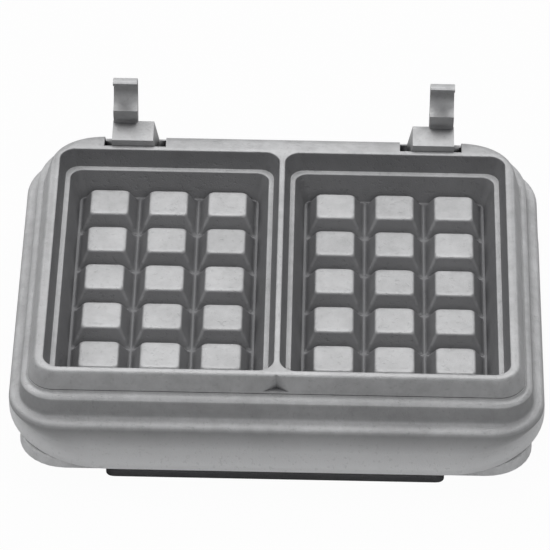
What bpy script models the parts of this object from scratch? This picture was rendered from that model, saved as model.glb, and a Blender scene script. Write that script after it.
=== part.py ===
"""Lower half of a cast two-well stovetop waffle iron, on its base frame and contact plate.

Metres, +Z up. The origin is on the hob, under the middle of the outline, and the front faces -Y.
"""

from math import atan2, cos, pi, sin

import bmesh
import bpy
from mathutils import Vector

# Fits and drawing steps
CLEARANCE = 0.0003
HOLE_CLEARANCE = 0.0003
OVERRUN = 0.002
CORNER_STEPS = 9
WELL_CORNER_STEPS = 5
ROUND_SIDES = 16
SHARP_ANGLE = 0.6

# Outline of the whole iron, measured from the middle of the two wells
HALF_WIDTH = 0.1505
FRONT_REACH = 0.1180
BACK_REACH = 0.1290
FOOT_RADIUS = 0.0580

# Heights, from the hob upwards
CONTACT_THICKNESS = 0.0054
BASE_THICKNESS = 0.0067
SKIRT_HEIGHT = 0.0455
RIM_HEIGHT = 0.0107
WELL_DEPTH = 0.0265
LEDGE_DEPTH = 0.0110
STUD_HEIGHT = 0.0110

# Wells and studs
WELL_SPACING = 0.1304
STUD_PITCH = 0.0340
STUD_COLUMNS = 3
STUD_ROWS = 5
STUD_TOP = 0.0195
STUD_CORNER = 0.0022
STUD_SINK = 0.0010
GROOVE_FLOOR = 0.0015
WALL_FOOT_MARGIN = 0.0015
WALL_DRAFT = 0.0060
LEDGE_WIDTH = 0.0027
LIP_DRAFT = 0.0028
LIP_EDGE_RADIUS = 0.0010
WELL_RADIUS = 0.0090
PLATE_FLOOR = 0.0050

# Rim of the baking plate
RIM_FOOT_INSET = 0.0133
RIM_TOP_INSET = 0.0175
RIM_FOOT_BACK_INSET = 0.0088
RIM_TOP_BACK_INSET = 0.0235
RIM_FOOT_RADIUS = 0.0150
RIM_TOP_RADIUS = 0.0130
RIM_BACK_FOOT_RADIUS = 0.0440
RIM_BACK_TOP_RADIUS = 0.0220
BODY_INSET = 0.0206
BODY_BACK_INSET = 0.0248
BODY_RADIUS = 0.0120
NOTCH_HALF_WIDTH = 0.0077
NOTCH_DEPTH = 0.0064
NOTCH_FLOOR_RISE = 0.0012

# Outer skirt
SIDE_STEP = 0.0130
BACK_STEP = 0.0076
SEAT_FLANGE = 0.0047
FOOT_FLANGE = 0.0036
FOOT_FLANGE_WIDTH = 0.0160
SKIRT_WALL = 0.0040

# Base frame and contact plate
BASE_INSET = 0.0075
BASE_BAR = 0.0140
BASE_RADIUS = 0.0260
BASE_DRAFT = 0.0006
CONTACT_HALF_WIDTH = 0.0940
CONTACT_FRONT_INSET = 0.0074
CONTACT_BACK_INSET = 0.0110
CONTACT_RADIUS = 0.0040
CONTACT_EDGE = 0.0008

# Hinge claws
CLAW_SIDE_INSET = 0.0512
CLAW_WIDTH = 0.0268
HOOK_WIDTH = 0.0143
CLAW_FRONT = 0.1008
CLAW_TOP_DEPTH = 0.0185
CLAW_FOOT_DEPTH = 0.0200
CLAW_BLOCK_HEIGHT = 0.0144
CLAW_SIDE_GAP = 0.0045
CLAW_DRAFT = 0.0029
HOOK_SET_BACK = 0.0137
HOOK_DEPTH = 0.0135
HOOK_HEIGHT = 0.0456
HOOK_FOOT_RISE = 0.0060
THROAT_RADIUS = 0.0090
THROAT_SET_BACK = 0.0005
THROAT_HEIGHT = 0.0342
JAW_THICKNESS = 0.0030
NECK_SET_BACK = 0.0030

# Fasteners and pins
PLATE_SCREW_DIAMETER = 0.0030
PLATE_SCREW_HEAD = 0.0052
PLATE_SCREW_HEAD_HEIGHT = 0.0020
PLATE_SCREW_GRIP = 0.0045
PLATE_SCREW_INSET = 0.0172
PLATE_SCREW_SIDE = 0.0550
PLATE_SCREW_FRONT = 0.0650
PLATE_SCREW_BACK = 0.0300
CLAW_BOLT_DIAMETER = 0.0060
CLAW_BOLT_HEAD = 0.0100
CLAW_BOLT_HEAD_HEIGHT = 0.0040
CLAW_BOLT_GRIP = 0.0105
CLAW_BOLT_SPACING = 0.0136
CLAW_BOLT_BACK_INSET = 0.0160
CONTACT_SCREW_DIAMETER = 0.0050
CONTACT_SCREW_HEAD = 0.0092
CONTACT_SCREW_HEAD_HEIGHT = 0.0025
CONTACT_SCREW_GRIP = 0.0042
CONTACT_SCREW_SINK = 0.0005
CONTACT_SCREW_X = 0.0800
PIN_DIAMETER = 0.0050
PIN_SINK = 0.0045
PIN_PROUD = 0.0070
PIN_INSET = 0.0125
PIN_TIP = 0.0010

# Where the levels fall
MIDDLE_Y = (FRONT_REACH - BACK_REACH) / 2
BASE_Z = CONTACT_THICKNESS + CLEARANCE
SKIRT_Z = BASE_Z + BASE_THICKNESS + CLEARANCE
SEAT_Z = SKIRT_Z + SKIRT_HEIGHT
RIM_Z = SEAT_Z + CLEARANCE
LIP_Z = RIM_Z + RIM_HEIGHT
FLOOR_Z = LIP_Z - WELL_DEPTH
LEDGE_Z = LIP_Z - LEDGE_DEPTH
CLAW_OUTER = HALF_WIDTH - CLAW_SIDE_INSET

# Skirt outline from its foot up: inset by the side step, height by the skirt height, front
# corner radius by the foot radius, back inset by the back step, back radius by the foot radius,
# and 1 where the skirt's inside follows that level.
SKIRT_SHARES = (
    (0.00, 0.000, 1.00, 0.00, 0.78, 0),
    (0.00, 0.062, 1.00, 0.00, 0.78, 0),
    (0.08, 0.140, 0.97, 0.04, 0.76, 1),
    (0.12, 0.248, 0.90, 0.06, 0.73, 1),
    (0.14, 0.380, 0.74, 0.09, 0.69, 0),
    (0.15, 0.540, 0.54, 0.13, 0.63, 1),
    (0.17, 0.595, 0.52, 0.13, 0.62, 0),
    (0.24, 0.632, 0.50, 0.15, 0.63, 0),
    (0.38, 0.650, 0.46, 0.17, 0.64, 1),
    (0.55, 0.668, 0.40, 0.19, 0.66, 0),
    (0.64, 0.712, 0.36, 0.22, 0.68, 1),
    (0.69, 0.885, 0.33, 0.26, 0.70, 1),
    (0.73, 0.925, 0.31, 0.40, 0.73, 0),
    (0.84, 0.952, 0.29, 0.60, 0.76, 0),
    (0.95, 0.967, 0.27, 0.82, 0.77, 0),
    (1.00, 1.000, 0.26, 1.00, 0.77, 0),
)

# Rim outline from its foot up: shares of the way from foot to top, across and in height.
RIM_SHARES = ((0.0, 0.0), (0.10, 0.18), (0.42, 0.62), (0.62, 0.84), (0.80, 0.955), (1.0, 1.0))


def clear_scene():
    """Removes every object, so that the script starts from an empty scene."""
    for item in list(bpy.data.objects):
        bpy.data.objects.remove(item, do_unlink=True)


def metal(name, colour, roughness, metallic):
    """A Principled material in one colour."""
    made = bpy.data.materials.new(name)
    made.use_nodes = True
    shader = made.node_tree.nodes["Principled BSDF"]
    shader.inputs["Base Color"].default_value = (*colour, 1.0)
    shader.inputs["Roughness"].default_value = roughness
    shader.inputs["Metallic"].default_value = metallic
    return made


def make_materials():
    """The finishes of the iron, by slot name."""
    return {
        "cast_aluminium": metal("cast_aluminium", (0.56, 0.56, 0.57), 0.42, 0.9),
        "base_casting": metal("base_casting", (0.68, 0.68, 0.69), 0.5, 0.8),
        "contact_iron": metal("contact_iron", (0.12, 0.12, 0.13), 0.6, 0.6),
        "zinc_steel": metal("zinc_steel", (0.62, 0.63, 0.65), 0.35, 1.0),
    }


def ring(half_width, front, back, front_radius, back_radius, z, centre_x=0.0, steps=CORNER_STEPS):
    """Points of a rounded rectangle, anticlockwise from above, placed from the wells' middle."""
    corners = (
        (half_width - front_radius, front_radius - front, front_radius, -pi / 2),
        (half_width - back_radius, back - back_radius, back_radius, 0.0),
        (back_radius - half_width, back - back_radius, back_radius, pi / 2),
        (front_radius - half_width, front_radius - front, front_radius, pi),
    )
    points = []
    for x, y, radius, start in corners:
        for step in range(steps + 1):
            angle = start + step * pi / 2 / steps
            points.append(Vector((
                centre_x + x + radius * cos(angle),
                MIDDLE_Y + y + radius * sin(angle),
                z,
            )))
    return points


def outline(inset, back_inset, front_radius, back_radius, z):
    """A ring of the iron's outline, drawn in from its widest by the two insets."""
    return ring(
        HALF_WIDTH - inset,
        FRONT_REACH - inset,
        BACK_REACH - back_inset,
        front_radius,
        back_radius,
        z,
    )


def add_loft(mesh, rings, joined):
    """Skins a list of rings: closed by caps, or back to the first ring when joined."""
    loops = [[mesh.verts.new(point) for point in points] for points in rings]
    pairs = list(zip(loops, loops[1:]))
    if joined:
        pairs.append((loops[-1], loops[0]))
    else:
        mesh.faces.new(list(reversed(loops[0])))
        mesh.faces.new(loops[-1])
    for lower, upper in pairs:
        count = len(lower)
        for index in range(count):
            after = (index + 1) % count
            mesh.faces.new((lower[index], lower[after], upper[after], upper[index]))


def object_from(mesh, name, material=None):
    """Turns a bmesh into an object with smooth faces, flat across sharp edges."""
    bmesh.ops.recalc_face_normals(mesh, faces=mesh.faces[:])
    data = bpy.data.meshes.new(name)
    mesh.to_mesh(data)
    mesh.free()
    data.shade_smooth()
    data.set_sharp_from_angle(angle=SHARP_ANGLE)
    made = bpy.data.objects.new(name, data)
    bpy.context.scene.collection.objects.link(made)
    if material is not None:
        data.materials.append(material)
    return made


def loft_object(name, rings, material=None, joined=False):
    """One object skinned over rings."""
    mesh = bmesh.new()
    add_loft(mesh, rings, joined)
    return object_from(mesh, name, material)


def change(target, tool, operation):
    """Cuts a helper from an object, or joins it on, and hides the helper."""
    step = target.modifiers.new(tool.name, "BOOLEAN")
    step.operation = operation
    step.object = tool
    step.solver = "EXACT"
    tool.hide_render = True
    tool.hide_viewport = True
    tool.display_type = "WIRE"


def circle(x, y, radius, z, sides=ROUND_SIDES):
    """Points of a level circle."""
    turns = [2 * pi * side / sides for side in range(sides)]
    return [Vector((x + radius * cos(turn), y + radius * sin(turn), z)) for turn in turns]


def turned(mesh, x, y, profile, sides=ROUND_SIDES):
    """Adds an upright turned piece: the profile lists radius and height from the bottom up."""
    add_loft(mesh, [circle(x, y, radius, z, sides) for radius, z in profile], False)


def prism(mesh, outline_points, x_low, x_high):
    """Adds an outline in the Y and Z plane, extruded along X."""
    rings = []
    for x in (x_low, x_high):
        rings.append([Vector((x, y, z)) for y, z in outline_points])
    add_loft(mesh, rings, False)


def well_half(columns, extra):
    """Half the room that a row of studs takes, with what lies outside it."""
    return (columns - 1) * STUD_PITCH / 2 + (STUD_PITCH - GROOVE_FLOOR) / 2 + extra


def well_cutter():
    """The two wells, with a drafted wall, the parting ledge and the lip above it."""
    mesh = bmesh.new()
    ledge_inner = WALL_FOOT_MARGIN + WALL_DRAFT
    ledge_outer = ledge_inner + LEDGE_WIDTH
    lip = ledge_outer + LIP_DRAFT
    levels = (
        (WALL_FOOT_MARGIN, FLOOR_Z, WELL_RADIUS / 2),
        (ledge_inner, LEDGE_Z, WELL_RADIUS * 0.8),
        (ledge_outer, LEDGE_Z + CLEARANCE, WELL_RADIUS * 0.9),
        (lip, LIP_Z - LIP_EDGE_RADIUS, WELL_RADIUS),
        (lip + LIP_EDGE_RADIUS, LIP_Z, WELL_RADIUS + LIP_EDGE_RADIUS),
        (lip + LIP_EDGE_RADIUS, LIP_Z + OVERRUN, WELL_RADIUS + LIP_EDGE_RADIUS),
    )
    for side in (-1, 1):
        rings = []
        for extra, z, radius in levels:
            half_x = well_half(STUD_COLUMNS, extra)
            half_y = well_half(STUD_ROWS, extra)
            centre = side * WELL_SPACING / 2
            rings.append(ring(half_x, half_y, half_y, radius, radius, z, centre, WELL_CORNER_STEPS))
        add_loft(mesh, rings, False)
    return object_from(mesh, "wells_cutter")


def stud_ring(x, y, half, corner, z):
    """Eight points of a stud's outline, a square with its corners taken off."""
    inner = half - corner
    plan = (
        (inner, -half), (half, -inner), (half, inner), (inner, half),
        (-inner, half), (-half, inner), (-half, -inner), (-inner, -half),
    )
    return [Vector((x + across, y + along, z)) for across, along in plan]


def studs_tool():
    """All the studs of both wells, each sunk a little into the groove floor."""
    mesh = bmesh.new()
    draft = (STUD_PITCH - GROOVE_FLOOR - STUD_TOP) / 2
    sunk_half = STUD_TOP / 2 + draft * (1 + STUD_SINK / STUD_HEIGHT)
    crown = STUD_CORNER / 4
    for side in (-1, 1):
        for column in range(STUD_COLUMNS):
            for row in range(STUD_ROWS):
                x = side * WELL_SPACING / 2 + (column - (STUD_COLUMNS - 1) / 2) * STUD_PITCH
                y = MIDDLE_Y + (row - (STUD_ROWS - 1) / 2) * STUD_PITCH
                add_loft(mesh, [
                    stud_ring(x, y, sunk_half, STUD_CORNER, FLOOR_Z - STUD_SINK),
                    stud_ring(x, y, STUD_TOP / 2, STUD_CORNER, FLOOR_Z + STUD_HEIGHT - crown),
                    stud_ring(x, y, STUD_TOP / 2 - crown, STUD_CORNER, FLOOR_Z + STUD_HEIGHT),
                ], False)
    return object_from(mesh, "studs_tool")


def plate_screw_places():
    """Where the screws hold the baking plate down: sides, front and back."""
    side_x = HALF_WIDTH - PLATE_SCREW_INSET
    front_y = MIDDLE_Y - FRONT_REACH + PLATE_SCREW_INSET
    back_y = MIDDLE_Y + BACK_REACH - CLAW_BOLT_BACK_INSET
    places = []
    for side in (-1, 1):
        places.append((side * side_x, MIDDLE_Y - PLATE_SCREW_SIDE))
        places.append((side * side_x, MIDDLE_Y + PLATE_SCREW_SIDE))
        places.append((side * PLATE_SCREW_FRONT, front_y))
        places.append((side * PLATE_SCREW_BACK, back_y))
    return places


def claw_bolt_places(side):
    """Where the two bolts enter one claw from beneath."""
    middle = side * (CLAW_OUTER - CLAW_WIDTH / 2)
    y = MIDDLE_Y + BACK_REACH - CLAW_BOLT_BACK_INSET
    return [(middle + end * CLAW_BOLT_SPACING / 2, y) for end in (-1, 1)]


def contact_screw_places():
    """Where the contact plate is screwed up into the front and back bars of the base frame."""
    front_y = MIDDLE_Y - FRONT_REACH + BASE_INSET + BASE_BAR / 2
    back_y = MIDDLE_Y + BACK_REACH - BASE_INSET - BASE_BAR / 2
    return [(side * CONTACT_SCREW_X, y) for side in (-1, 1) for y in (front_y, back_y)]


def pin_places():
    """Where the two locating pins stand in the side bars of the base frame."""
    return [(side * (HALF_WIDTH - PIN_INSET), MIDDLE_Y) for side in (-1, 1)]


def holes(name, places, diameter, z_low, z_high):
    """A cutter of upright round holes with their clearance."""
    mesh = bmesh.new()
    radius = diameter / 2 + HOLE_CLEARANCE
    for x, y in places:
        turned(mesh, x, y, ((radius, z_low), (radius, z_high)))
    return object_from(mesh, name)


def claw_notches():
    """The two pockets in the back rail that the claws stand in."""
    mesh = bmesh.new()
    front = MIDDLE_Y + CLAW_FRONT - CLEARANCE
    back = MIDDLE_Y + BACK_REACH
    plan = ((front, RIM_Z), (back, RIM_Z), (back, LIP_Z + OVERRUN), (front, LIP_Z + OVERRUN))
    for side in (-1, 1):
        ends = sorted((
            side * (CLAW_OUTER + CLAW_SIDE_GAP),
            side * (CLAW_OUTER - CLAW_WIDTH - CLAW_SIDE_GAP),
        ))
        prism(mesh, plan, *ends)
    return object_from(mesh, "claw_notches")


def rim_notch():
    """The V between the two rounded lips, at the front of the ridge."""
    mesh = bmesh.new()
    face = MIDDLE_Y - FRONT_REACH + RIM_FOOT_INSET
    rise = (NOTCH_DEPTH + OVERRUN) / NOTCH_DEPTH
    plan = (
        (NOTCH_HALF_WIDTH * rise, face - OVERRUN),
        (0.0, face + NOTCH_DEPTH),
        (-NOTCH_HALF_WIDTH * rise, face - OVERRUN),
    )
    levels = (RIM_Z + NOTCH_FLOOR_RISE, LIP_Z + OVERRUN)
    add_loft(mesh, [[Vector((x, y, z)) for x, y in plan] for z in levels], False)
    return object_from(mesh, "rim_notch")


def make_baking_plate(material):
    """The casting that bakes: two studded wells, the ridge between them and the rim."""
    body_floor = FLOOR_Z - PLATE_FLOOR
    rings = [
        outline(BODY_INSET, BODY_BACK_INSET, BODY_RADIUS, BODY_RADIUS, body_floor),
        outline(BODY_INSET, BODY_BACK_INSET, BODY_RADIUS, BODY_RADIUS, RIM_Z),
    ]
    for across, up in RIM_SHARES:
        rings.append(outline(
            RIM_FOOT_INSET + across * (RIM_TOP_INSET - RIM_FOOT_INSET),
            RIM_FOOT_BACK_INSET + across * (RIM_TOP_BACK_INSET - RIM_FOOT_BACK_INSET),
            RIM_FOOT_RADIUS + across * (RIM_TOP_RADIUS - RIM_FOOT_RADIUS),
            RIM_BACK_FOOT_RADIUS + across * (RIM_BACK_TOP_RADIUS - RIM_BACK_FOOT_RADIUS),
            RIM_Z + up * RIM_HEIGHT,
        ))
    plate = loft_object("baking_plate", rings, material)
    change(plate, well_cutter(), "DIFFERENCE")
    change(plate, studs_tool(), "UNION")
    change(plate, claw_notches(), "DIFFERENCE")
    change(plate, rim_notch(), "DIFFERENCE")
    top = RIM_Z + PLATE_SCREW_GRIP + CLEARANCE
    change(plate, holes("plate_screw_holes", plate_screw_places(), PLATE_SCREW_DIAMETER,
                        RIM_Z - OVERRUN, top), "DIFFERENCE")
    return plate


def skirt_rings():
    """Outer levels of the skirt going up, then its inside going down, ready to join."""
    rings = []
    for inset, up, front_radius, back_inset, back_radius, _ in SKIRT_SHARES:
        rings.append(outline(
            inset * SIDE_STEP,
            back_inset * BACK_STEP,
            front_radius * FOOT_RADIUS,
            back_radius * FOOT_RADIUS,
            SKIRT_Z + up * SKIRT_HEIGHT,
        ))
    seat_inset = BODY_INSET - CLEARANCE
    seat_back = BODY_BACK_INSET - CLEARANCE
    seat_radius = BODY_RADIUS + CLEARANCE
    for z in (SEAT_Z, SEAT_Z - SEAT_FLANGE):
        rings.append(outline(seat_inset, seat_back, seat_radius, seat_radius, z))
    followed = [row for row in reversed(SKIRT_SHARES) if row[-1]]
    levels = [SKIRT_Z + row[1] * SKIRT_HEIGHT - SKIRT_WALL for row in followed]
    levels[0] = SEAT_Z - SEAT_FLANGE
    levels[-1] = SKIRT_Z + FOOT_FLANGE
    for (inset, _, front_radius, back_inset, back_radius, _), z in zip(followed, levels):
        rings.append(outline(
            inset * SIDE_STEP + SKIRT_WALL,
            back_inset * BACK_STEP + SKIRT_WALL,
            front_radius * FOOT_RADIUS - SKIRT_WALL / 2,
            back_radius * FOOT_RADIUS - SKIRT_WALL / 2,
            z,
        ))
    foot_radius = FOOT_RADIUS - FOOT_FLANGE_WIDTH
    for z in (SKIRT_Z + FOOT_FLANGE, SKIRT_Z):
        rings.append(outline(
            FOOT_FLANGE_WIDTH,
            FOOT_FLANGE_WIDTH,
            foot_radius,
            SKIRT_SHARES[0][4] * FOOT_RADIUS - FOOT_FLANGE_WIDTH / 2,
            z,
        ))
    return rings


def make_outer_skirt(material):
    """The stepped casting round the plate, flanged in at its seat and at its foot."""
    skirt = loft_object("outer_skirt", skirt_rings(), material, joined=True)
    low = SEAT_Z - SEAT_FLANGE - OVERRUN
    high = SEAT_Z + OVERRUN
    bolts = claw_bolt_places(-1) + claw_bolt_places(1)
    change(skirt, holes("seat_screw_holes", plate_screw_places(), PLATE_SCREW_DIAMETER,
                        low, high), "DIFFERENCE")
    change(skirt, holes("seat_bolt_holes", bolts, CLAW_BOLT_DIAMETER, low, high), "DIFFERENCE")
    change(skirt, holes("pin_seats", pin_places(), PIN_DIAMETER, SKIRT_Z - OVERRUN,
                        SKIRT_Z + FOOT_FLANGE + OVERRUN), "DIFFERENCE")
    return skirt


def arc(y, z, radius, start, end, steps):
    """Points along an arc in the Y and Z plane, from one angle to the other."""
    turn = (end - start) / steps
    return [
        (y + radius * cos(start + step * turn), z + radius * sin(start + step * turn))
        for step in range(steps + 1)
    ]


def hook_outline():
    """Side view of a hook: neck, lower jaw, open throat, upper jaw and rounded back."""
    front = MIDDLE_Y + CLAW_FRONT
    foot = RIM_Z + CLEARANCE
    jaw_front = front + HOOK_SET_BACK
    back = jaw_front + HOOK_DEPTH
    neck = jaw_front + NECK_SET_BACK
    throat_y = jaw_front + THROAT_SET_BACK
    throat_z = foot + THROAT_HEIGHT
    top = foot + HOOK_HEIGHT
    mouth = atan2(THROAT_RADIUS, jaw_front - throat_y)
    outer = back - throat_y
    points = [
        (neck, foot + CLEARANCE),
        (neck, foot + CLAW_BLOCK_HEIGHT + OVERRUN),
        (jaw_front, throat_z - THROAT_RADIUS - JAW_THICKNESS),
    ]
    points += arc(throat_y, throat_z, THROAT_RADIUS, -mouth, mouth, 12)
    points += [
        (jaw_front, top - JAW_THICKNESS / 4),
        (jaw_front + JAW_THICKNESS / 3, top),
    ]
    points += arc(throat_y, top - outer, outer, pi / 2, 0.0, 6)[1:]
    points += [
        (back, foot + HOOK_FOOT_RISE),
        (front + CLAW_FOOT_DEPTH, foot + CLEARANCE),
    ]
    return points


def make_hinge_claw(name, side, material):
    """One cast claw: a drafted block in the rail's pocket and the hook that stands on it."""
    front = MIDDLE_Y + CLAW_FRONT
    foot = RIM_Z + CLEARANCE
    block_top = foot + CLAW_BLOCK_HEIGHT
    outer = side * CLAW_OUTER
    inner = side * (CLAW_OUTER - CLAW_WIDTH)
    drafted = inner + side * CLAW_DRAFT
    mesh = bmesh.new()
    levels = ((inner, CLAW_FOOT_DEPTH, foot), (drafted, CLAW_TOP_DEPTH, block_top))
    rings = []
    for inside, depth, z in levels:
        back = front + depth
        corners = [(outer, front), (inside, front), (inside, back), (outer, back)]
        rings.append([Vector((x, y, z)) for x, y in corners])
    add_loft(mesh, rings, False)
    claw = object_from(mesh, name, material)
    hook = bmesh.new()
    hook_outer = outer - side * CLEARANCE
    prism(hook, hook_outline(), *sorted((hook_outer, outer - side * HOOK_WIDTH)))
    change(claw, object_from(hook, name + "_hook"), "UNION")
    grip = RIM_Z + CLAW_BOLT_GRIP + CLEARANCE
    change(claw, holes(name + "_bolt_holes", claw_bolt_places(side), CLAW_BOLT_DIAMETER,
                       RIM_Z - OVERRUN, grip), "DIFFERENCE")
    return claw


def make_plate_screws(material):
    """Pan-headed screws that hold the plate to the skirt from beneath."""
    under = SEAT_Z - SEAT_FLANGE - CLEARANCE
    tip = RIM_Z + PLATE_SCREW_GRIP
    for number, (x, y) in enumerate(plate_screw_places(), 1):
        mesh = bmesh.new()
        turned(mesh, x, y, (
            (PLATE_SCREW_HEAD / 3, under - PLATE_SCREW_HEAD_HEIGHT),
            (PLATE_SCREW_HEAD / 2, under - PLATE_SCREW_HEAD_HEIGHT / 2),
            (PLATE_SCREW_HEAD / 2, under),
            (PLATE_SCREW_DIAMETER / 2, under),
            (PLATE_SCREW_DIAMETER / 2, tip),
        ), 12)
        object_from(mesh, f"plate_screw_{number}", material)


def make_claw_bolts(material):
    """Hexagon bolts that hold the claws down through the skirt's seat."""
    under = SEAT_Z - SEAT_FLANGE - CLEARANCE
    tip = RIM_Z + CLAW_BOLT_GRIP
    places = claw_bolt_places(-1) + claw_bolt_places(1)
    for number, (x, y) in enumerate(places, 1):
        mesh = bmesh.new()
        head = CLAW_BOLT_HEAD / 2
        shank = CLAW_BOLT_DIAMETER / 2
        turned(mesh, x, y, (
            (head, under - CLAW_BOLT_HEAD_HEIGHT),
            (head, under),
            (shank, under),
            (shank, tip),
        ), 6 * 2)
        object_from(mesh, f"claw_bolt_{number}", material)


def countersink(extra):
    """Profile of a countersunk screw or its hole, wider by the clearance given."""
    seat = CONTACT_SCREW_SINK if extra == 0.0 else -OVERRUN
    cone = CONTACT_SCREW_SINK + CONTACT_SCREW_HEAD_HEIGHT
    tip = BASE_Z + CONTACT_SCREW_GRIP + extra
    return (
        (CONTACT_SCREW_HEAD / 2 + extra, seat),
        (CONTACT_SCREW_HEAD / 2 + extra, CONTACT_SCREW_SINK + CLEARANCE + extra),
        (CONTACT_SCREW_DIAMETER / 2 + extra, cone + extra),
        (CONTACT_SCREW_DIAMETER / 2 + extra, tip),
    )


def make_contact_screws(material):
    """Countersunk screws from the hob side up into the base frame."""
    for number, (x, y) in enumerate(contact_screw_places(), 1):
        mesh = bmesh.new()
        turned(mesh, x, y, countersink(0.0))
        object_from(mesh, f"contact_screw_{number}", material)


def contact_screw_cutter(name):
    """The holes that the contact screws pass through and enter."""
    mesh = bmesh.new()
    for x, y in contact_screw_places():
        turned(mesh, x, y, countersink(HOLE_CLEARANCE))
    return object_from(mesh, name)


def make_base_frame(material):
    """The open frame under the skirt, whose corners stand proud of the skirt's round corners."""
    top = BASE_Z + BASE_THICKNESS
    inner = BASE_INSET + BASE_BAR
    inner_radius = BASE_RADIUS - BASE_BAR
    levels = (
        (BASE_INSET + BASE_DRAFT, BASE_RADIUS, BASE_Z),
        (BASE_INSET, BASE_RADIUS, BASE_Z + BASE_DRAFT),
        (BASE_INSET + BASE_DRAFT, BASE_RADIUS, top - BASE_DRAFT),
        (BASE_INSET + BASE_DRAFT * 2, BASE_RADIUS, top),
        (inner, inner_radius, top),
        (inner, inner_radius, BASE_Z),
    )
    rings = [outline(inset, inset, radius, radius, z) for inset, radius, z in levels]
    frame = loft_object("base_frame", rings, material, joined=True)
    change(frame, contact_screw_cutter("frame_screw_holes"), "DIFFERENCE")
    change(frame, holes("frame_pin_holes", pin_places(), PIN_DIAMETER,
                        top - PIN_SINK - CLEARANCE, top + OVERRUN), "DIFFERENCE")
    return frame


def make_contact_plate(material):
    """The flat plate that rests on the hob."""
    levels = (
        (CONTACT_EDGE, 0.0),
        (0.0, CONTACT_EDGE),
        (0.0, CONTACT_THICKNESS - CONTACT_EDGE),
        (CONTACT_EDGE, CONTACT_THICKNESS),
    )
    rings = []
    for inset, z in levels:
        rings.append(ring(
            CONTACT_HALF_WIDTH - inset,
            FRONT_REACH - CONTACT_FRONT_INSET - inset,
            BACK_REACH - CONTACT_BACK_INSET - inset,
            CONTACT_RADIUS,
            CONTACT_RADIUS,
            z,
            0.0,
            WELL_CORNER_STEPS,
        ))
    plate = loft_object("contact_plate", rings, material)
    change(plate, contact_screw_cutter("plate_countersinks"), "DIFFERENCE")
    return plate


def make_locating_pins(material):
    """Two pins in the base frame that centre the skirt's foot."""
    top = BASE_Z + BASE_THICKNESS
    radius = PIN_DIAMETER / 2
    for number, (x, y) in enumerate(pin_places(), 1):
        mesh = bmesh.new()
        turned(mesh, x, y, (
            (radius, top - PIN_SINK),
            (radius, top + PIN_PROUD - PIN_TIP),
            (radius - PIN_TIP, top + PIN_PROUD),
        ))
        object_from(mesh, f"locating_pin_{number}", material)


def main():
    """Builds every piece of the iron."""
    clear_scene()
    finishes = make_materials()
    make_baking_plate(finishes["cast_aluminium"])
    make_outer_skirt(finishes["cast_aluminium"])
    make_hinge_claw("hinge_claw_left", -1, finishes["cast_aluminium"])
    make_hinge_claw("hinge_claw_right", 1, finishes["cast_aluminium"])
    make_plate_screws(finishes["zinc_steel"])
    make_claw_bolts(finishes["zinc_steel"])
    make_base_frame(finishes["base_casting"])
    make_contact_plate(finishes["contact_iron"])
    make_contact_screws(finishes["zinc_steel"])
    make_locating_pins(finishes["zinc_steel"])


main()
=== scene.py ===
"""Looks of the waffle iron's lower half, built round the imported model."""

from math import atan2, cos, pi, radians, sin

import bmesh
import bpy
from mathutils import Matrix, Vector


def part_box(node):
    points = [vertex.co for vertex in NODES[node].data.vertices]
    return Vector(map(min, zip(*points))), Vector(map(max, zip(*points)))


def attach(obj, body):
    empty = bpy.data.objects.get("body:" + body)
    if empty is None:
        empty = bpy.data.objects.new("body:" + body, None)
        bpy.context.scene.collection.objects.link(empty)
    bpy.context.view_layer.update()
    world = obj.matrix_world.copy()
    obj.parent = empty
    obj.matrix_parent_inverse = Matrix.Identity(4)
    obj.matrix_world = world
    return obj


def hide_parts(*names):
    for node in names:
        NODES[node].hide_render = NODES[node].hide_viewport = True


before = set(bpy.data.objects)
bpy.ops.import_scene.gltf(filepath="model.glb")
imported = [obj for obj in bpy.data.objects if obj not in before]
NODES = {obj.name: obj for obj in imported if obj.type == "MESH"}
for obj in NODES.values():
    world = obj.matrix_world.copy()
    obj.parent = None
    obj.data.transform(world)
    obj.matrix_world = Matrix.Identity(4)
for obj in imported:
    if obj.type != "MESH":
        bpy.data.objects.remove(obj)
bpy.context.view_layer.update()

# The photograph's view
VIEW_ELEVATION = radians(39.32)
VIEW_YAW = radians(-0.615)
VIEW_ROLL = radians(0.7275)
VIEW_DISTANCE = 2.746
VIEW_SHIFT_X = 0.00255
VIEW_SHIFT_Y = -0.04501
VIEW_POINT = Vector((0.0, -0.0055, -0.0013))
SENSOR = 36.0
FOCAL_PIXELS = 4786.0
PHOTO_PIXELS = 550.0
CLIP_END = 20.0

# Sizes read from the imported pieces
PLATE_LOW, PLATE_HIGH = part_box("baking_plate")
SKIRT_LOW, SKIRT_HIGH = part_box("outer_skirt")

HALF_WIDTH = SKIRT_HIGH.x
FRONT_REACH = 0.1180
BACK_REACH = 0.1290
MIDDLE_Y = (FRONT_REACH - BACK_REACH) / 2
FOOT_RADIUS = 0.0580
SKIRT_Z = SKIRT_LOW.z
SEAT_Z = SKIRT_HIGH.z
SKIRT_HEIGHT = SEAT_Z - SKIRT_Z
CLEARANCE = 0.0003
RIM_Z = SEAT_Z + CLEARANCE
LIP_Z = PLATE_HIGH.z
RIM_HEIGHT = LIP_Z - RIM_Z
FLOOR_Z = LIP_Z - 0.0265
LEDGE_Z = LIP_Z - 0.0110
OVERRUN = 0.002

# Wells and studs
WELL_SPACING = 0.1304
STUD_PITCH = 0.0340
STUD_COLUMNS = 3
STUD_ROWS = 5
STUD_TOP = 0.0218
STUD_HEIGHT = 0.0110
STUD_CORNER = 0.0030
STUD_EDGE = 0.0011
STUD_SINK = 0.0010
STUD_ROOT_SHARE = 0.06
GROOVE_FLOOR = 0.0015
WALL_FOOT_MARGIN = 0.0015
WALL_DRAFT = 0.0060
LEDGE_WIDTH = 0.0027
LIP_DRAFT = 0.0028
LIP_EDGE = 0.0010
WELL_RADIUS = 0.0090

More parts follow.
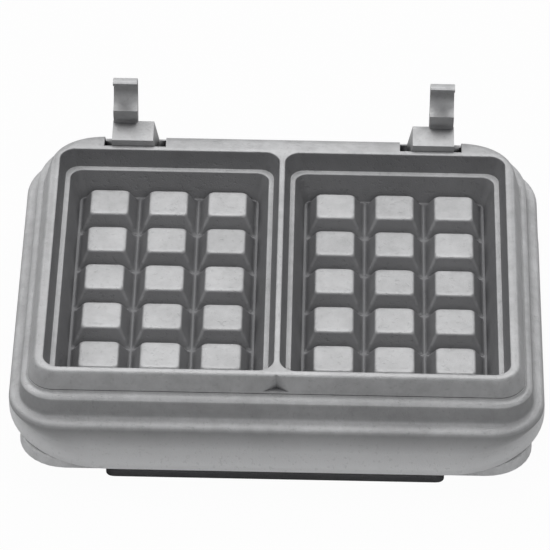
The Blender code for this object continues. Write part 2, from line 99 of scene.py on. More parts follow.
# Rim of the plate
RIM_FOOT_INSET = 0.0133
RIM_TOP_INSET = 0.0175
RIM_FOOT_BACK_INSET = 0.0088
RIM_TOP_BACK_INSET = 0.0235
RIM_FOOT_RADIUS = 0.0150
RIM_TOP_RADIUS = 0.0130
RIM_BACK_FOOT_RADIUS = 0.0440
RIM_BACK_TOP_RADIUS = 0.0220
BODY_INSET = 0.0206
BODY_BACK_INSET = 0.0248
BODY_RADIUS = 0.0120
NOTCH_HALF_WIDTH = 0.0077
NOTCH_DEPTH = 0.0038
NOTCH_FLOOR_RISE = 0.0012

# Skirt
SIDE_STEP = 0.0130
BACK_STEP = 0.0076
SEAT_FLANGE = 0.0047
FOOT_FLANGE = 0.0036
FOOT_FLANGE_WIDTH = 0.0160
SKIRT_WALL = 0.0040

# Claws
CLAW_OUTER = 0.0993
CLAW_WIDTH = 0.0268
HOOK_WIDTH = 0.0143
CLAW_FRONT = 0.1008
CLAW_TOP_DEPTH = 0.0185
CLAW_FOOT_DEPTH = 0.0200
CLAW_BLOCK_HEIGHT = 0.0144
CLAW_SIDE_GAP = 0.0045
CLAW_DRAFT = 0.0029
HOOK_SET_BACK = 0.0137
HOOK_DEPTH = 0.0135
HOOK_HEIGHT = 0.0456
HOOK_FOOT_RISE = 0.0060
THROAT_RADIUS = 0.0090
THROAT_SET_BACK = 0.0005
THROAT_HEIGHT = 0.0342
JAW_THICKNESS = 0.0030
JAW_CORNER_DROP = JAW_THICKNESS / 4
JAW_CORNER_DEPTH = JAW_THICKNESS / 3
NECK_SET_BACK = 0.0030
CLAW_EDGE = 0.0009

# How finely curves are drawn
CORNER_STEPS = 16
WELL_CORNER_STEPS = 10
STUD_CORNER_STEPS = 4
PROFILE_STEPS = 3
THROAT_STEPS = 24
HOOK_BACK_STEPS = 12
CLAW_EDGE_SEGMENTS = 3
SHARP_ANGLE = radians(38)

# Noise in the metals: scale, detail and roughness
BROAD_NOISE = (22.0, 4.0, 0.6)
PATCHY_NOISE = (140.0, 5.0, 0.65)
SAND_NOISE = (1400.0, 3.0, 0.7)
PIT_NOISE = (420.0, 2.0, 0.6)

# Parts of a noise's range that are put to use
NARROW_RANGE = (0.35, 0.65)
WIDE_RANGE = (0.3, 0.7)
PIT_RANGE = (0.30, 0.42)

# Mottle, painted shade in the hollows, pits and grain
MOTTLE_HALF = 0.5
MOTTLE_SHADE = 0.72
HOLLOW_SHADE_REACH = 0.012
HOLLOW_SHADE_SAMPLES = 8
HOLLOW_SHADE_RANGE = (0.25, 0.85)
LEVEL_WANDER = 0.0010
ROUGH_DROP = 0.07
ROUGH_RISE = 0.09
PIT_FADE = 0.8
PIT_SHARE = 0.10
SAND_RELIEF = 0.55
PIT_RELIEF = 0.45
GRAIN_DEPTH = 0.0010

# Painted shade on the steep faces of the wells, and soot with painted shade low on the studs and the
# floor of the wells
SOOT_AND_SHADE_SHARE = 0.72
WALL_SHADE_TILT = (0.60, 0.93)
SOOT_AND_SHADE_LOW = FLOOR_Z + STUD_HEIGHT * 0.35
SOOT_AND_SHADE_HIGH = FLOOR_Z + STUD_HEIGHT * 0.9
WELL_REACH_X = 0.1288
WELL_REACH_Y = 0.0975

# Painted reflection of the white floor, pale on the skirt's foot, and painted shade on the upright
# faces above it
FOOT_REFLECTION_COLOUR = (0.95, 0.95, 0.955)
FOOT_REFLECTION_FADE_Z = SKIRT_Z + SKIRT_HEIGHT * 0.6
UPRIGHT_SHADE_TILT = (0.10, 0.55)
UPRIGHT_SHADE_LOW = SKIRT_Z + SKIRT_HEIGHT * 0.3
UPRIGHT_SHADE_HIGH = SKIRT_Z + SKIRT_HEIGHT * 0.55
UPRIGHT_SHADE_SHARE = 0.42

# Metals: pale colour, dark colour, metallic share, roughness and strength of the grain; the dark
# colour also serves painted shade, soot and pits
METALS = {
    "plate_aluminium": ((0.56, 0.56, 0.565), (0.07, 0.07, 0.075), 0.35, 0.52, 0.35),
    "skirt_aluminium": ((0.66, 0.66, 0.665), (0.10, 0.10, 0.105), 0.3, 0.52, 0.35),
    # The base casting's near-white colour is a painted reflection of the white floor
    "base_casting": ((0.95, 0.95, 0.955), (0.4, 0.4, 0.4), 0.0, 0.5, 0.4),
    # The contact plate's dark colour is partly its dark iron and partly painted shade from under the
    # flange
    "contact_iron": ((0.24, 0.24, 0.25), (0.05, 0.05, 0.05), 0.5, 0.55, 0.5),
    "zinc_steel": ((0.62, 0.63, 0.65), (0.2, 0.2, 0.2), 0.9, 0.35, 0.05),
}
STEEL_WORDS = ("screw", "bolt", "pin")

# Floor and world
FLOOR_REACH = 4.0
FLOOR_COLOUR = (0.5, 0.5, 0.5, 1.0)
FLOOR_ROUGHNESS = 0.9
FLOOR_GLOW = (1.0, 1.0, 1.0, 1.0)
FLOOR_GLOW_SHARE = 0.97
WORLD_COLOUR = (0.9, 0.92, 0.95, 1.0)
WORLD_STRENGTH = 0.16

# Lamps: name, place, two sides and power
LAMP_AIM = Vector((0.0, 0.0, 0.05))
LAMPS = (
    ("sky_panel", (0.0, 0.55, 1.5), 1.8, 1.3, 24.0),
    ("left_panel", (-1.4, 0.2, 0.9), 0.9, 0.7, 4.0),
    ("front_fill", (0.3, -1.5, 1.1), 1.2, 0.8, 6.0),
)

# Well outline from its floor up: the edge that a level is placed from, how far outside and above
# that edge in edge radii, the share of the corner radius, and what it gains in edge radii
WELL_SHARES = (
    ("foot", -1.0, 0.0, 0.50, 0.0),
    ("foot", 0.3, 0.3, 0.52, 0.0),
    ("foot", 1.2, 1.6, 0.55, 0.0),
    ("ledge_inner", -0.9, -1.2, 0.78, 0.0),
    ("ledge_inner", -0.3, -0.3, 0.80, 0.0),
    ("ledge_inner", 0.6, 0.0, 0.82, 0.0),
    ("ledge_outer", -1.2, 0.1, 0.88, 0.0),
    ("ledge_outer", -0.2, 0.6, 0.90, 0.0),
    ("ledge_outer", 0.3, 1.8, 0.92, 0.0),
    ("lip", -0.4, -3.2, 1.00, 0.0),
    ("lip", 0.0, -2.0, 1.00, 0.0),
    ("lip", 0.45, -0.9, 1.00, 0.5),
    ("lip", 1.1, -0.25, 1.00, 1.0),
    ("lip", 2.0, 0.0, 1.00, 2.0),
)

# Foot of a stud going up: shares of its draft outwards, of its corner radius and of its edge up
STUD_FOOT_SHARES = ((0.05, 0.5, 0.1), (-0.06, 0.5, 0.45), (-0.16, 0.6, 1.2))

# Top edge of a stud going up: drafted part, inset and drop as shares of its edge, and the share
# of its corner radius
STUD_TOP_SHARES = (
    (1.3, 0.0, 1.25, 1.0),
    (0.3, 0.0, 0.62, 1.0),
    (0.0, 0.28, 0.2, 1.0),
    (0.0, 1.0, 0.04, 1.0),
    (0.0, 2.6, 0.0, 0.8),
)

# Skirt outline from its foot up, as shares: inset, height, front radius, back inset, back radius,
# and 1 where the skirt's inside follows that level
SKIRT_SHARES = (
    (0.00, 0.000, 1.00, 0.00, 0.78, 0),
    (0.00, 0.062, 1.00, 0.00, 0.78, 0),
    (0.08, 0.140, 0.97, 0.04, 0.76, 1),
    (0.12, 0.248, 0.90, 0.06, 0.73, 1),
    (0.14, 0.380, 0.74, 0.09, 0.69, 0),
    (0.15, 0.540, 0.54, 0.13, 0.63, 1),
    (0.17, 0.595, 0.52, 0.13, 0.62, 0),
    (0.24, 0.632, 0.50, 0.15, 0.63, 0),
    (0.38, 0.650, 0.46, 0.17, 0.64, 1),
    (0.55, 0.668, 0.40, 0.19, 0.66, 0),
    (0.64, 0.712, 0.36, 0.22, 0.68, 1),
    (0.69, 0.885, 0.33, 0.26, 0.70, 1),
    (0.73, 0.925, 0.31, 0.40, 0.73, 0),
    (0.84, 0.952, 0.29, 0.60, 0.76, 0),
    (0.95, 0.967, 0.27, 0.82, 0.77, 0),
    (1.00, 1.000, 0.26, 1.00, 0.77, 0),
)

# Rim outline from its foot up, as shares of the way across and up
RIM_SHARES = ((0.0, 0.0), (0.10, 0.18), (0.42, 0.62), (0.62, 0.84), (0.80, 0.955), (1.0, 1.0))


def smooth_rows(rows, steps):
    """A Catmull-Rom curve through rows of numbers, kept inside each pair's own range."""
    finer = []
    last = len(rows) - 1
    for index in range(last):
        before = rows[max(index - 1, 0)]
        start = rows[index]
        end = rows[index + 1]
        after = rows[min(index + 2, last)]
        for step in range(steps):
            t = step / steps
            row = []
            for a, b, c, d in zip(before, start, end, after):
                value = 0.5 * (
                    2 * b + (c - a) * t
                    + (2 * a - 5 * b + 4 * c - d) * t ** 2
                    + (3 * b - a - 3 * c + d) * t ** 3
                )
                row.append(min(max(value, min(b, c)), max(b, c)))
            finer.append(tuple(row))
    finer.append(tuple(rows[-1]))
    return finer


def ring(half_width, front, back, front_radius, back_radius, z, centre_x=0.0, steps=CORNER_STEPS):
    """Points of a rounded rectangle, anticlockwise from above, placed from the wells' middle."""
    corners = (
        (half_width - front_radius, front_radius - front, front_radius, -pi / 2),
        (half_width - back_radius, back - back_radius, back_radius, 0.0),
        (back_radius - half_width, back - back_radius, back_radius, pi / 2),
        (front_radius - half_width, front_radius - front, front_radius, pi),
    )
    points = []
    for x, y, radius, start in corners:
        for step in range(steps + 1):
            angle = start + step * pi / 2 / steps
            points.append(Vector((
                centre_x + x + radius * cos(angle),
                MIDDLE_Y + y + radius * sin(angle),
                z,
            )))
    return points


def outline(inset, back_inset, front_radius, back_radius, z):
    """A ring of the iron's outline, drawn in from its widest by the two insets."""
    return ring(
        HALF_WIDTH - inset,
        FRONT_REACH - inset,
        BACK_REACH - back_inset,
        front_radius,
        back_radius,
        z,
    )


def add_loft(mesh, rings, joined=False):
    """Skins a list of rings: closed by caps, or back to the first ring when joined."""
    loops = [[mesh.verts.new(point) for point in points] for points in rings]
    pairs = list(zip(loops, loops[1:]))
    if joined:
        pairs.append((loops[-1], loops[0]))
    else:
        mesh.faces.new(list(reversed(loops[0])))
        mesh.faces.new(loops[-1])
    for lower, upper in pairs:
        count = len(lower)
        for index in range(count):
            after = (index + 1) % count
            mesh.faces.new((lower[index], lower[after], upper[after], upper[index]))


def object_from(mesh, name):
    """Turns a bmesh into an object in the scene."""
    bmesh.ops.recalc_face_normals(mesh, faces=mesh.faces[:])
    data = bpy.data.meshes.new(name)
    mesh.to_mesh(data)
    mesh.free()
    made = bpy.data.objects.new(name, data)
    bpy.context.scene.collection.objects.link(made)
    return made


def settle(target):
    """Applies an object's modifiers and removes the helpers that they used."""
    helpers = [step.object for step in target.modifiers if step.type == "BOOLEAN"]
    graph = bpy.context.evaluated_depsgraph_get()
    final = bpy.data.meshes.new_from_object(target.evaluated_get(graph))
    target.modifiers.clear()
    target.data = final
    for helper in helpers:
        bpy.data.objects.remove(helper, do_unlink=True)
    final.shade_smooth()
    final.set_sharp_from_angle(angle=SHARP_ANGLE)


def change(target, tool, operation):
    """Cuts a helper from an object, or joins it on."""
    step = target.modifiers.new(tool.name, "BOOLEAN")
    step.operation = operation
    step.object = tool
    step.solver = "EXACT"


def soften(target, width, segments):
    """Rounds the sharp edges of an object."""
    step = target.modifiers.new("soft_edges", "BEVEL")
    step.width = width
    step.segments = segments
    step.limit_method = "ANGLE"
    step.angle_limit = SHARP_ANGLE


def prism(mesh, outline_points, x_low, x_high):
    """Adds an outline in the Y and Z plane, extruded along X."""
    add_loft(mesh, [[Vector((x, y, z)) for y, z in outline_points] for x in (x_low, x_high)])


def well_half(columns, extra):
    """Half the room that a row of studs takes, with what lies outside it."""
    return (columns - 1) * STUD_PITCH / 2 + (STUD_PITCH - GROOVE_FLOOR) / 2 + extra


def well_levels():
    """Levels of a well from its floor up: margin outside the studs, height and corner radius."""
    foot = WALL_FOOT_MARGIN
    ledge_inner = foot + WALL_DRAFT
    ledge_outer = ledge_inner + LEDGE_WIDTH
    edges = {
        "foot": (foot, FLOOR_Z),
        "ledge_inner": (ledge_inner, LEDGE_Z),
        "ledge_outer": (ledge_outer, LEDGE_Z),
        "lip": (ledge_outer + LIP_DRAFT, LIP_Z),
    }
    soft = LIP_EDGE / 2
    levels = []
    for edge, outward, upward, radius_share, gain in WELL_SHARES:
        margin, z = edges[edge]
        radius = WELL_RADIUS * radius_share + soft * gain
        levels.append((margin + soft * outward, z + soft * upward, radius))
    widest, _, radius = levels[-1]
    levels.append((widest, LIP_Z + OVERRUN, radius))
    return levels


def well_cutter():
    """The two wells, with a drafted wall, the parting ledge and the lip above it."""
    mesh = bmesh.new()
    for side in (-1, 1):
        rings = []
        for extra, z, radius in well_levels():
            half_x = well_half(STUD_COLUMNS, extra)
            half_y = well_half(STUD_ROWS, extra)
            centre = side * WELL_SPACING / 2
            rings.append(ring(half_x, half_y, half_y, radius, radius, z, centre, WELL_CORNER_STEPS))
        add_loft(mesh, rings)
    return object_from(mesh, "wells_cutter")


def stud_ring(x, y, half, corner, z):
    """Points of a stud's outline, a square with rounded corners."""
    points = []
    for turn, (side_x, side_y) in enumerate(((1, -1), (1, 1), (-1, 1), (-1, -1))):
        start = (turn - 1) * pi / 2
        for step in range(STUD_CORNER_STEPS + 1):
            angle = start + step * pi / 2 / STUD_CORNER_STEPS
            points.append(Vector((
                x + side_x * (half - corner) + corner * cos(angle),
                y + side_y * (half - corner) + corner * sin(angle),
                z,
            )))
    return points


def stud_levels():
    """Levels of a stud from its foot up: half width, corner radius and height."""
    draft = (STUD_PITCH - GROOVE_FLOOR - STUD_TOP) / 2
    foot = STUD_TOP / 2 + draft
    top = FLOOR_Z + STUD_HEIGHT
    slope = draft / STUD_HEIGHT
    root_corner = STUD_CORNER * STUD_FOOT_SHARES[0][1]
    levels = [(foot + draft * STUD_ROOT_SHARE, root_corner, FLOOR_Z - STUD_SINK)]
    for outward, corner, up in STUD_FOOT_SHARES:
        levels.append((foot + draft * outward, STUD_CORNER * corner, FLOOR_Z + STUD_EDGE * up))
    for drafted, inset, drop, corner in STUD_TOP_SHARES:
        half = STUD_TOP / 2 + slope * STUD_EDGE * drafted - STUD_EDGE * inset
        levels.append((half, STUD_CORNER * corner, top - STUD_EDGE * drop))
    return levels


def studs_tool():
    """All the studs of both wells, each sunk a little into the groove floor."""
    mesh = bmesh.new()
    levels = stud_levels()
    for side in (-1, 1):
        for column in range(STUD_COLUMNS):
            for row in range(STUD_ROWS):
                x = side * WELL_SPACING / 2 + (column - (STUD_COLUMNS - 1) / 2) * STUD_PITCH
                y = MIDDLE_Y + (row - (STUD_ROWS - 1) / 2) * STUD_PITCH
                add_loft(mesh, [stud_ring(x, y, half, corner, z) for half, corner, z in levels])
    return object_from(mesh, "studs_tool")


def claw_notches():
    """The two pockets in the back rail that the claws stand in."""
    mesh = bmesh.new()
    front = MIDDLE_Y + CLAW_FRONT - CLEARANCE
    back = MIDDLE_Y + BACK_REACH
    plan = ((front, RIM_Z), (back, RIM_Z), (back, LIP_Z + OVERRUN), (front, LIP_Z + OVERRUN))
    for side in (-1, 1):
        ends = sorted((
            side * (CLAW_OUTER + CLAW_SIDE_GAP),
            side * (CLAW_OUTER - CLAW_WIDTH - CLAW_SIDE_GAP),
        ))
        prism(mesh, plan, *ends)
    return object_from(mesh, "claw_notches")


def rim_notch():
    """The V between the two rounded lips, at the front of the ridge."""
    mesh = bmesh.new()
    face = MIDDLE_Y - FRONT_REACH + RIM_FOOT_INSET
    rise = (NOTCH_DEPTH + OVERRUN) / NOTCH_DEPTH
    plan = (
        (NOTCH_HALF_WIDTH * rise, face - OVERRUN),
        (0.0, face + NOTCH_DEPTH),
        (-NOTCH_HALF_WIDTH * rise, face - OVERRUN),
    )
    levels = (RIM_Z + NOTCH_FLOOR_RISE, LIP_Z + OVERRUN)
    add_loft(mesh, [[Vector((x, y, z)) for x, y in plan] for z in levels])
    return object_from(mesh, "rim_notch")


def rim_rings():
    """Levels of the plate from the underside of its body to the top of its lip."""
    body_floor = PLATE_LOW.z
    rings = [
        outline(BODY_INSET, BODY_BACK_INSET, BODY_RADIUS, BODY_RADIUS, body_floor),
        outline(BODY_INSET, BODY_BACK_INSET, BODY_RADIUS, BODY_RADIUS, RIM_Z),
    ]
    for across, up in smooth_rows(RIM_SHARES, PROFILE_STEPS):
        rings.append(outline(
            RIM_FOOT_INSET + across * (RIM_TOP_INSET - RIM_FOOT_INSET),
            RIM_FOOT_BACK_INSET + across * (RIM_TOP_BACK_INSET - RIM_FOOT_BACK_INSET),
            RIM_FOOT_RADIUS + across * (RIM_TOP_RADIUS - RIM_FOOT_RADIUS),
            RIM_BACK_FOOT_RADIUS + across * (RIM_BACK_TOP_RADIUS - RIM_BACK_FOOT_RADIUS),
            RIM_Z + up * RIM_HEIGHT,
        ))
    return rings


def make_plate():
    """The baking casting with rounded studs, ledge and lip."""
    mesh = bmesh.new()
    add_loft(mesh, rim_rings())
    plate = object_from(mesh, "cast_baking_plate")
    change(plate, well_cutter(), "DIFFERENCE")
    change(plate, studs_tool(), "UNION")
    change(plate, claw_notches(), "DIFFERENCE")
    change(plate, rim_notch(), "DIFFERENCE")
    settle(plate)
    return plate


def skirt_rings():
    """Outer levels of the skirt going up, then its inside going down, ready to join."""
    rings = []
    outside = smooth_rows(SKIRT_SHARES, PROFILE_STEPS)
    for inset, up, front_radius, back_inset, back_radius, _ in outside:
        rings.append(outline(
            inset * SIDE_STEP,
            back_inset * BACK_STEP,
            front_radius * FOOT_RADIUS,
            back_radius * FOOT_RADIUS,
            SKIRT_Z + up * SKIRT_HEIGHT,
        ))
    seat_inset = BODY_INSET - CLEARANCE
    seat_back = BODY_BACK_INSET - CLEARANCE
    seat_radius = BODY_RADIUS + CLEARANCE
    for z in (SEAT_Z, SEAT_Z - SEAT_FLANGE):
        rings.append(outline(seat_inset, seat_back, seat_radius, seat_radius, z))
    followed = [row for row in reversed(SKIRT_SHARES) if row[-1]]
    levels = [SKIRT_Z + row[1] * SKIRT_HEIGHT - SKIRT_WALL for row in followed]
    levels[0] = SEAT_Z - SEAT_FLANGE
    levels[-1] = SKIRT_Z + FOOT_FLANGE
    for (inset, _, front_radius, back_inset, back_radius, _), z in zip(followed, levels):
        rings.append(outline(
            inset * SIDE_STEP + SKIRT_WALL,
            back_inset * BACK_STEP + SKIRT_WALL,
            front_radius * FOOT_RADIUS - SKIRT_WALL / 2,
            back_radius * FOOT_RADIUS - SKIRT_WALL / 2,
            z,
        ))
    back_radius = SKIRT_SHARES[0][4] * FOOT_RADIUS - FOOT_FLANGE_WIDTH / 2
    for z in (SKIRT_Z + FOOT_FLANGE, SKIRT_Z):
        rings.append(outline(
            FOOT_FLANGE_WIDTH, FOOT_FLANGE_WIDTH, FOOT_RADIUS - FOOT_FLANGE_WIDTH, back_radius, z,
        ))
    return rings


def make_skirt():
    """The stepped casting with its two rolled beads."""
    mesh = bmesh.new()
    add_loft(mesh, skirt_rings(), joined=True)
    skirt = object_from(mesh, "cast_outer_skirt")
    settle(skirt)
    return skirt


def arc(y, z, radius, start, end, steps):
    """Points along an arc in the Y and Z plane, from one angle to the other."""
    turn = (end - start) / steps
    return [
        (y + radius * cos(start + step * turn), z + radius * sin(start + step * turn))
        for step in range(steps + 1)
    ]


def hook_outline():
    """Side view of a hook: neck, lower jaw, open throat, upper jaw and rounded back."""
    front = MIDDLE_Y + CLAW_FRONT
    foot = RIM_Z + CLEARANCE
    jaw_front = front + HOOK_SET_BACK
    back = jaw_front + HOOK_DEPTH
    neck = jaw_front + NECK_SET_BACK
    throat_y = jaw_front + THROAT_SET_BACK
    throat_z = foot + THROAT_HEIGHT
    top = foot + HOOK_HEIGHT
    mouth = atan2(THROAT_RADIUS, jaw_front - throat_y)
    outer = back - throat_y
    points = [
        (neck, foot + CLEARANCE),
        (neck, foot + CLAW_BLOCK_HEIGHT + OVERRUN),
        (jaw_front, throat_z - THROAT_RADIUS - JAW_THICKNESS),
    ]
    points += arc(throat_y, throat_z, THROAT_RADIUS, -mouth, mouth, THROAT_STEPS)
    points += [
        (jaw_front, top - JAW_CORNER_DROP),
        (jaw_front + JAW_CORNER_DEPTH, top),
    ]
    points += arc(throat_y, top - outer, outer, pi / 2, 0.0, HOOK_BACK_STEPS)[1:]
    points += [
        (back, foot + HOOK_FOOT_RISE),
        (front + CLAW_FOOT_DEPTH, foot + CLEARANCE),
    ]
    return points


def make_claw(name, side):
    """One cast claw with its edges rounded."""
    front = MIDDLE_Y + CLAW_FRONT
    foot = RIM_Z + CLEARANCE
    block_top = foot + CLAW_BLOCK_HEIGHT
    outer = side * CLAW_OUTER
    inner = side * (CLAW_OUTER - CLAW_WIDTH)
    drafted = inner + side * CLAW_DRAFT
    rings = []
    levels = ((inner, CLAW_FOOT_DEPTH, foot), (drafted, CLAW_TOP_DEPTH, block_top))
    for inside, depth, z in levels:
        back = front + depth
        corners = [(outer, front), (inside, front), (inside, back), (outer, back)]
        rings.append([Vector((x, y, z)) for x, y in corners])
    mesh = bmesh.new()
    add_loft(mesh, rings)
    claw = object_from(mesh, name)
    hook = bmesh.new()
    ends = sorted((outer - side * CLEARANCE, outer - side * HOOK_WIDTH))
    prism(hook, hook_outline(), *ends)
    change(claw, object_from(hook, name + "_hook"), "UNION")
    soften(claw, CLAW_EDGE, CLAW_EDGE_SEGMENTS)
    settle(claw)
    return claw


def node(tree, kind, **values):
    """A shader node with its properties and its unlinked inputs set."""
    made = tree.nodes.new(kind)
    for key, value in values.items():
        if key.startswith("in_"):
            made.inputs[key[3:].replace("_", " ")].default_value = value
        else:
            setattr(made, key, value)
    return made


def noise(tree, coordinates, kind):
    """Noise in metres, from the object's own coordinates."""
    scale, detail, roughness = kind
    made = node(tree, "ShaderNodeTexNoise", in_Scale=scale, in_Detail=detail, in_Roughness=roughness)
    tree.links.new(coordinates.outputs["Object"], made.inputs["Vector"])
    return made.outputs["Fac"]


def spread(tree, value, low, high, to_low, to_high):
    """Maps a value from one range to another, clamped."""
    made = node(tree, "ShaderNodeMapRange", in_From_Min=low, in_From_Max=high,
                in_To_Min=to_low, in_To_Max=to_high)
    tree.links.new(value, made.inputs["Value"])
    return made.outputs["Result"]


def maths(tree, operation, first, second=0.0):
    """One arithmetic node; the second input may be a number."""
    made = node(tree, "ShaderNodeMath", operation=operation)
    tree.links.new(first, made.inputs[0])
    if isinstance(second, (int, float)):
        made.inputs[1].default_value = second
    else:
        tree.links.new(second, made.inputs[1])
    return made.outputs[0]


def mix(tree, factor, first, second):
    """Mixes two colours, each a triple or an output."""
    made = node(tree, "ShaderNodeMix", data_type="RGBA")
    tree.links.new(factor, made.inputs["Factor"])
    for name, value in (("A", first), ("B", second)):
        socket = [s for s in made.inputs if s.name == name and s.type == "RGBA"][0]
        if isinstance(value, tuple):
            socket.default_value = (*value, 1.0)
        else:
            tree.links.new(value, socket)
    return [s for s in made.outputs if s.type == "RGBA"][0]


def soot_and_shade_on(tree, height, tilt, parts):
    """How dark the wells are made: painted shade on their steep faces, and soot with painted shade
    on the floor between the studs.
    """
    # Painted shade: steep faces inside the wells darken the more they turn away from facing up
    steep = spread(tree, tilt, *WALL_SHADE_TILT, SOOT_AND_SHADE_SHARE, 0.0)
    along = maths(tree, "ABSOLUTE", maths(tree, "SUBTRACT", parts.outputs["Y"], MIDDLE_Y))
    across = maths(tree, "ABSOLUTE", parts.outputs["X"])
    inside = maths(tree, "MULTIPLY", maths(tree, "LESS_THAN", along, WELL_REACH_Y),
                   maths(tree, "LESS_THAN", across, WELL_REACH_X))
    # Soot with painted shade: darker towards the floor between the studs
    low = spread(tree, height, SOOT_AND_SHADE_LOW, SOOT_AND_SHADE_HIGH, SOOT_AND_SHADE_SHARE, 0.0)
    return maths(tree, "MAXIMUM", maths(tree, "MULTIPLY", steep, inside), low)


def cast_metal(name, wells=False, foot=False):
    """Bare cast metal: mottled colour, painted shade in the hollows, sand grain and small pits."""
    pale, dark, metallic, rough, grain = METALS[name]
    made = bpy.data.materials.new(name)
    made.use_nodes = True
    tree = made.node_tree
    shader = tree.nodes["Principled BSDF"]
    shader.inputs["Metallic"].default_value = metallic

    place = node(tree, "ShaderNodeTexCoord")
    broad = noise(tree, place, BROAD_NOISE)
    patchy = noise(tree, place, PATCHY_NOISE)
    sand = noise(tree, place, SAND_NOISE)
    mottle = maths(tree, "ADD", spread(tree, broad, *NARROW_RANGE, 0.0, MOTTLE_HALF),
                   spread(tree, patchy, *NARROW_RANGE, 0.0, MOTTLE_HALF))
    colour = mix(tree, mottle, tuple(MOTTLE_SHADE * c for c in pale), pale)

    # Painted shade: ambient occlusion darkens hollows, corners and creases towards the dark colour
    hollow_shade = node(tree, "ShaderNodeAmbientOcclusion", samples=HOLLOW_SHADE_SAMPLES,
                  in_Distance=HOLLOW_SHADE_REACH)
    shade_and_soot = spread(tree, hollow_shade.outputs["AO"], *HOLLOW_SHADE_RANGE, 1.0, 0.0)
    parts = node(tree, "ShaderNodeSeparateXYZ")
    tree.links.new(place.outputs["Object"], parts.inputs[0])
    wander = maths(tree, "MULTIPLY", spread(tree, patchy, *WIDE_RANGE, -1.0, 1.0), LEVEL_WANDER)
    height = maths(tree, "ADD", parts.outputs["Z"], wander)
    facing = node(tree, "ShaderNodeNewGeometry")
    normal = node(tree, "ShaderNodeSeparateXYZ")
    tree.links.new(facing.outputs["Normal"], normal.inputs[0])
    tilt = normal.outputs["Z"]
    # Wells: painted shade on the steep faces, and soot with painted shade low down
    if wells:
        shade_and_soot = maths(tree, "MAXIMUM", shade_and_soot, soot_and_shade_on(tree, height, tilt, parts))
    if foot:
        # Painted shade: upright faces above the skirt's lower part are darkened, while upward faces
        # stay lighter
        level = spread(tree, tilt, *UPRIGHT_SHADE_TILT, 1.0, 0.0)
        above = spread(tree, height, UPRIGHT_SHADE_LOW, UPRIGHT_SHADE_HIGH, 0.0, UPRIGHT_SHADE_SHARE)
        shade_and_soot = maths(tree, "MAXIMUM", shade_and_soot, maths(tree, "MULTIPLY", level, above))
        # Painted reflection: the skirt turns pale towards its foot, standing in for the white floor
        # that it mirrors
        colour = mix(tree, spread(tree, height, SKIRT_Z, FOOT_REFLECTION_FADE_Z, 1.0, 0.0),
                     colour, FOOT_REFLECTION_COLOUR)
    # The dark colour is mixed in where shade is painted, and where the wells carry soot
    colour = mix(tree, shade_and_soot, colour, dark)

    tree.links.new(spread(tree, patchy, *WIDE_RANGE, rough - ROUGH_DROP, rough + ROUGH_RISE),
                   shader.inputs["Roughness"])
    pits = spread(tree, noise(tree, place, PIT_NOISE), *PIT_RANGE, 0.0, 1.0)
    colour = mix(tree, spread(tree, pits, 0.0, PIT_FADE, PIT_SHARE, 0.0), colour, dark)
    tree.links.new(colour, shader.inputs["Base Color"])
    relief = maths(tree, "ADD", maths(tree, "MULTIPLY", sand, SAND_RELIEF),
                   maths(tree, "MULTIPLY", pits, PIT_RELIEF))
    bump = node(tree, "ShaderNodeBump", in_Strength=grain, in_Distance=GRAIN_DEPTH)
    tree.links.new(relief, bump.inputs["Height"])
    tree.links.new(bump.outputs["Normal"], shader.inputs["Normal"])
    return made


def finish_with(target, material):
    """Gives an object one material."""
    target.data.materials.clear()
    target.data.materials.append(material)


def smooth_node(target):
    """Shades a carried-over piece smooth, flat across its sharp edges."""
    target.data.shade_smooth()
    target.data.set_sharp_from_angle(angle=SHARP_ANGLE)


def make_floor():
    """A plain floor that the camera sees as white, and that keeps the object's shadow."""
    mesh = bmesh.new()
    bmesh.ops.create_grid(mesh, x_segments=1, y_segments=1, size=FLOOR_REACH)
    floor = object_from(mesh, "floor")
    made = bpy.data.materials.new("floor_white")
    made.use_nodes = True
    tree = made.node_tree
    shader = tree.nodes["Principled BSDF"]
    shader.inputs["Base Color"].default_value = FLOOR_COLOUR
    shader.inputs["Roughness"].default_value = FLOOR_ROUGHNESS
    glow = node(tree, "ShaderNodeEmission", in_Color=FLOOR_GLOW, in_Strength=1.0)
    seen = node(tree, "ShaderNodeLightPath")
    share = maths(tree, "MULTIPLY", seen.outputs["Is Camera Ray"], FLOOR_GLOW_SHARE)
    both = node(tree, "ShaderNodeMixShader")
    tree.links.new(share, both.inputs["Fac"])
    tree.links.new(shader.outputs[0], both.inputs[1])
    tree.links.new(glow.outputs[0], both.inputs[2])
    tree.links.new(both.outputs[0], tree.nodes["Material Output"].inputs["Surface"])
    floor.data.materials.append(made)


def area_light(name, place, size_x, size_y, power):
    """A rectangular lamp that faces the iron."""
    data = bpy.data.lights.new(name, "AREA")
    data.shape = "RECTANGLE"
    data.size = size_x
    data.size_y = size_y
    data.energy = power
    lamp = bpy.data.objects.new(name, data)
    lamp.location = place
    lamp.rotation_euler = (LAMP_AIM - place).to_track_quat("-Z", "Y").to_euler()
    bpy.context.scene.collection.objects.link(lamp)


def make_lights():
    """Soft light from above and behind, with a weak fill from the front."""
    for name, place, size_x, size_y, power in LAMPS:
        area_light(name, Vector(place), size_x, size_y, power)
    world = bpy.data.worlds.new("studio")
    bpy.context.scene.world = world
    world.use_nodes = True
    tree = world.node_tree
    tree.nodes["Background"].inputs["Color"].default_value = WORLD_COLOUR
    tree.nodes["Background"].inputs["Strength"].default_value = WORLD_STRENGTH


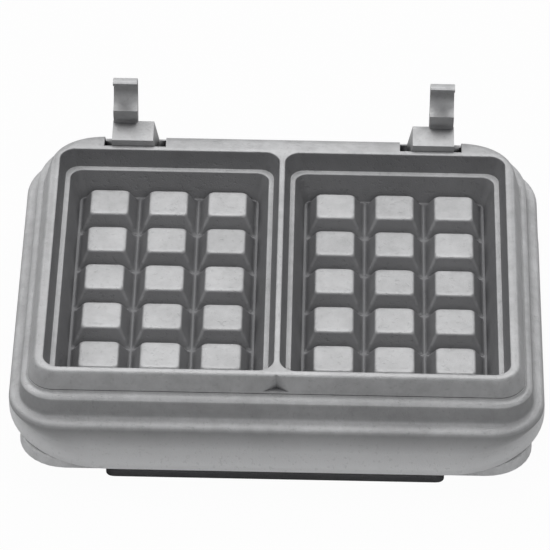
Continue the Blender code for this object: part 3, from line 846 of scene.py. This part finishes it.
def make_camera():
    """The camera at the photograph's angle, from above the front edge."""
    right = Vector((1.0, 0.0, 0.0))
    up = Vector((0.0, sin(VIEW_ELEVATION), cos(VIEW_ELEVATION)))
    ahead = Vector((0.0, cos(VIEW_ELEVATION), -sin(VIEW_ELEVATION)))
    eye = -(VIEW_SHIFT_X * right + VIEW_SHIFT_Y * up + VIEW_DISTANCE * ahead)
    turned_right = cos(VIEW_ROLL) * right + sin(VIEW_ROLL) * up
    turned_up = cos(VIEW_ROLL) * up - sin(VIEW_ROLL) * right
    turn = Matrix.Rotation(-VIEW_YAW, 3, "Z")
    axes = Matrix((turn @ turned_right, turn @ turned_up, turn @ -ahead)).transposed()
    data = bpy.data.cameras.new("photo_camera")
    data.sensor_width = SENSOR
    data.lens = FOCAL_PIXELS / PHOTO_PIXELS * SENSOR
    data.clip_end = CLIP_END
    camera = bpy.data.objects.new("photo_camera", data)
    camera.matrix_world = Matrix.Translation(turn @ eye + VIEW_POINT) @ axes.to_4x4()
    bpy.context.scene.collection.objects.link(camera)
    bpy.context.scene.camera = camera


def main():
    """Dresses every piece and sets the stage."""
    make_camera()
    make_lights()
    make_floor()
    bpy.context.scene.view_settings.view_transform = "Standard"
    plate_metal = cast_metal("plate_aluminium", wells=True)
    # The skirt's metal carries the painted reflection on its foot and painted shade on its upright
    # faces
    skirt_metal = cast_metal("skirt_aluminium", foot=True)
    base_metal = cast_metal("base_casting")
    contact_metal = cast_metal("contact_iron")
    steel = cast_metal("zinc_steel")

    plate = make_plate()
    finish_with(plate, plate_metal)
    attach(plate, "iron")
    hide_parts("baking_plate")

    skirt = make_skirt()
    finish_with(skirt, skirt_metal)
    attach(skirt, "iron")
    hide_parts("outer_skirt")

    for side, word in ((-1, "left"), (1, "right")):
        claw = make_claw("cast_claw_" + word, side)
        finish_with(claw, skirt_metal)
        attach(claw, "iron")
        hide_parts("hinge_claw_" + word)

    for name, target in NODES.items():
        smooth_node(target)
        if name == "base_frame":
            finish_with(target, base_metal)
        elif name == "contact_plate":
            finish_with(target, contact_metal)
        elif any(word in name for word in STEEL_WORDS):
            finish_with(target, steel)
        else:
            finish_with(target, skirt_metal)


main()

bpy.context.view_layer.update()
